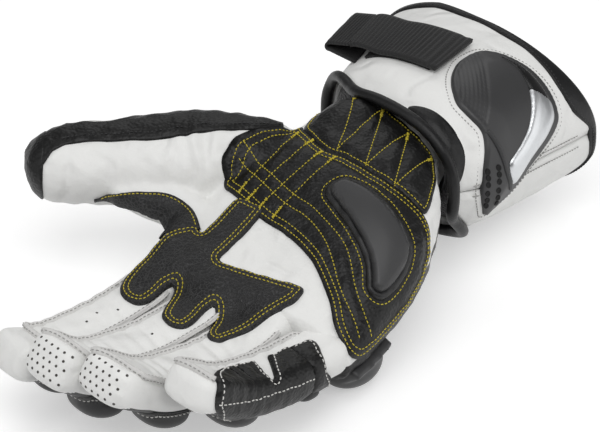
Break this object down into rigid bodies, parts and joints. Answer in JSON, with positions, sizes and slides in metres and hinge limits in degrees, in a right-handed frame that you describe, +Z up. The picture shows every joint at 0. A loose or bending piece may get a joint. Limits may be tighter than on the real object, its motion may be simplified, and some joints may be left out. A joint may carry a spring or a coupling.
{
  "type": "motorcycle glove",
  "caption": "Armoured leather motorcycle gauntlet glove for the right hand, lying palm up with curved fingers, palm slider, flared cuff and closing strap",
  "frame": {"origin": "under the middle of the glove as it lies on its back, on the surface it rests on", "axes": "+X from the fingertips to the cuff, +Y to the thumb side, +Z up out of the palm"},
  "size_m": [0.2896, 0.181, 0.0876],
  "materials": {
    "white_leather": "full-grain leather, smooth, semi-matt",
    "black_leather": "grained leather, semi-matt",
    "grip_leather": "leather with a printed grip net",
    "grey_tpu": "moulded polyurethane, satin",
    "black_tpu": "moulded polyurethane, satin",
    "silver_plate": "silver-coated plastic",
    "black_webbing": "ribbed webbing",
    "stretch_fabric": "ribbed stretch knit",
    "lining_fabric": "knitted lining"
  },
  "bodies": {
    "hand": {"palm_leather": "white_leather", "back_leather": "black_leather", "hand_lining": "lining_fabric", "heel_patch": "black_leather", "wrist_patch": "black_leather", "grip_patch": "grip_leather", "slider_rim": "black_tpu", "palm_slider": "grey_tpu", "knuckle_shield": "grey_tpu", "index_knuckle_bend": "white_leather", "middle_knuckle_bend": "white_leather", "ring_knuckle_bend": "white_leather", "little_knuckle_bend": "white_leather", "thumb_base_bend": "white_leather", "cuff_palm_panel": "white_leather", "cuff_back_panel": "white_leather", "cuff_lining": "lining_fabric", "rim_binding": "black_leather", "wrist_roll": "black_leather", "cuff_guard": "grey_tpu", "guard_plate": "silver_plate", "soft_panel": "black_leather", "cuff_back_guard": "grey_tpu", "hook_pad": "black_webbing", "strap_fold": "black_webbing", "wrist_gusset": "stretch_fabric"},
    "index_lower": {"index_stall": "white_leather", "index_stall_guard": "black_tpu", "index_middle_bend": "white_leather", "index_grip_lobe": "grip_leather"},
    "index_end": {"index_tip": "white_leather", "index_tip_guard": "black_tpu"},
    "middle_lower": {"middle_stall": "white_leather", "middle_stall_guard": "black_tpu", "middle_middle_bend": "white_leather", "middle_grip_lobe": "grip_leather"},
    "middle_end": {"middle_tip": "white_leather", "middle_tip_guard": "black_tpu"},
    "ring_lower": {"ring_stall": "white_leather", "ring_stall_guard": "black_tpu", "ring_middle_bend": "white_leather", "ring_grip_lobe": "grip_leather"},
    "ring_end": {"ring_tip": "white_leather", "ring_tip_guard": "black_tpu"},
    "little_lower": {"little_stall": "white_leather", "little_stall_guard": "black_tpu", "little_middle_bend": "white_leather", "little_side_panel": "black_leather"},
    "little_end": {"little_tip": "white_leather", "little_tip_guard": "black_tpu"},
    "thumb_lower": {"thumb_stall": "white_leather", "thumb_middle_bend": "white_leather", "thumb_back_panel": "black_leather", "thumb_grip_strip": "grip_leather"},
    "thumb_end": {"thumb_tip": "white_leather"},
    "strap": {"cuff_strap": "black_webbing"}
  },
  "joints": [
    {"name": "index_knuckle", "type": "hinge", "parent": "hand", "child": "index_lower", "pos_m": [-0.06197, 0.00386, 0.02526], "axis": [0.1478, 0.989, 0], "range_deg": [-12, 40], "stiffness_Nm_per_rad": 0.2, "deforming": ["index_knuckle_bend"]},
    {"name": "index_middle", "type": "hinge", "parent": "index_lower", "child": "index_end", "pos_m": [-0.08866, 0.00785, 0.02471], "axis": [0.1478, 0.989, 0], "range_deg": [-15, 40], "stiffness_Nm_per_rad": 0.1, "deforming": ["index_middle_bend"]},
    {"name": "middle_knuckle", "type": "hinge", "parent": "hand", "child": "middle_lower", "pos_m": [-0.05891, -0.02194, 0.0242], "axis": [0.1305, 0.9914, 0], "range_deg": [-12, 40], "stiffness_Nm_per_rad": 0.2, "deforming": ["middle_knuckle_bend"]},
    {"name": "middle_middle", "type": "hinge", "parent": "middle_lower", "child": "middle_end", "pos_m": [-0.09259, -0.0175, 0.02475], "axis": [0.1305, 0.9914, 0], "range_deg": [-15, 40], "stiffness_Nm_per_rad": 0.1, "deforming": ["middle_middle_bend"]},
    {"name": "ring_knuckle", "type": "hinge", "parent": "hand", "child": "ring_lower", "pos_m": [-0.0558, -0.04789, 0.02323], "axis": [0.1219, 0.9925, 0], "range_deg": [-12, 40], "stiffness_Nm_per_rad": 0.2, "deforming": ["ring_knuckle_bend"]},
    {"name": "ring_middle", "type": "hinge", "parent": "ring_lower", "child": "ring_end", "pos_m": [-0.08651, -0.04412, 0.02482], "axis": [0.1219, 0.9925, 0], "range_deg": [-15, 40], "stiffness_Nm_per_rad": 0.1, "deforming": ["ring_middle_bend"]},
    {"name": "little_knuckle", "type": "hinge", "parent": "hand", "child": "little_lower", "pos_m": [-0.0528, -0.073, 0.02531], "axis": [0.1045, 0.9945, 0], "range_deg": [-12, 40], "stiffness_Nm_per_rad": 0.2, "deforming": ["little_knuckle_bend"]},
    {"name": "little_middle", "type": "hinge", "parent": "little_lower", "child": "little_end", "pos_m": [-0.07657, -0.0705, 0.02737], "axis": [0.1045, 0.9945, 0], "range_deg": [-15, 40], "stiffness_Nm_per_rad": 0.1, "deforming": ["little_middle_bend"]},
    {"name": "thumb_base", "type": "hinge", "parent": "hand", "child": "thumb_lower", "pos_m": [-0.00447, 0.03377, 0.05425], "axis": [0.6522, 0.57, 0.4997], "range_deg": [-15, 25], "stiffness_Nm_per_rad": 0.5, "deforming": ["thumb_base_bend"]},
    {"name": "thumb_middle", "type": "hinge", "parent": "thumb_lower", "child": "thumb_end", "pos_m": [-0.02933, 0.0634, 0.05305], "axis": [0.6634, 0.5567, 0.5], "range_deg": [-15, 35], "stiffness_Nm_per_rad": 0.15, "deforming": ["thumb_middle_bend"]},
    {"name": "cuff_strap_flap", "type": "hinge", "parent": "hand", "child": "strap", "pos_m": [0.09815, 0.00851, 0.07716], "axis": [-0.9817, -0.1889, -0.024], "range_deg": [0, 110]}
  ]
}
